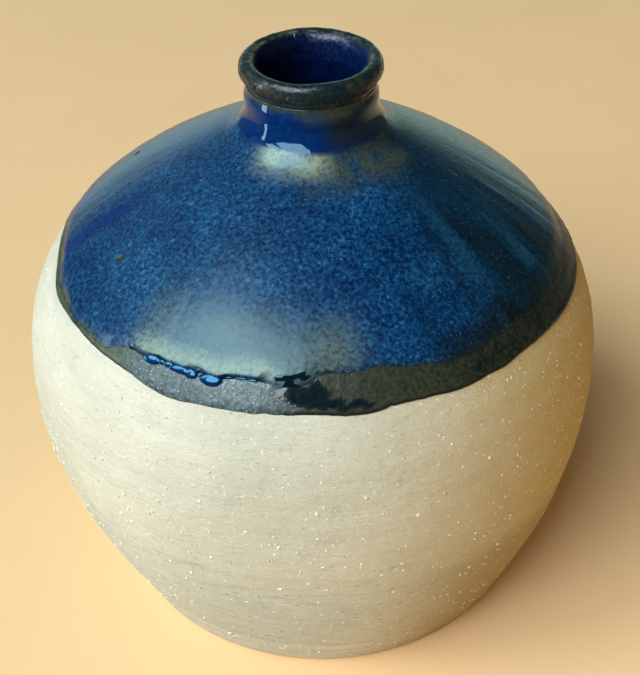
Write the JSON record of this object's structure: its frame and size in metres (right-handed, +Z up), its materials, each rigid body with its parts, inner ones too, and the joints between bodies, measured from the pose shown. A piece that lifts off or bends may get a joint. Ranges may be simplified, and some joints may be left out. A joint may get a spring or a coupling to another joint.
{
  "type": "bud vase",
  "caption": "Round-bellied stoneware bud vase with a short narrow neck and rolled lip, bare clay below and a dipped blue glaze over the shoulder.",
  "frame": {"origin": "centre of the underside of the foot, on the surface the vase stands on", "axes": "+Z up along the axis of turning, -Y towards the side with the thick glaze edge and drip, +X to its right"},
  "size_m": [0.12, 0.12, 0.1195],
  "materials": {
    "stoneware": "unglazed fired stoneware, matt, grogged",
    "liner_glaze": "gloss",
    "dark_glaze": "satin gloss",
    "blue_glaze": "gloss, mottled"
  },
  "bodies": {
    "root": {"stoneware_body": "stoneware", "liner_glaze": "liner_glaze", "first_glaze_coat": "dark_glaze", "blue_glaze_coat": "blue_glaze"}
  },
  "joints": []
}
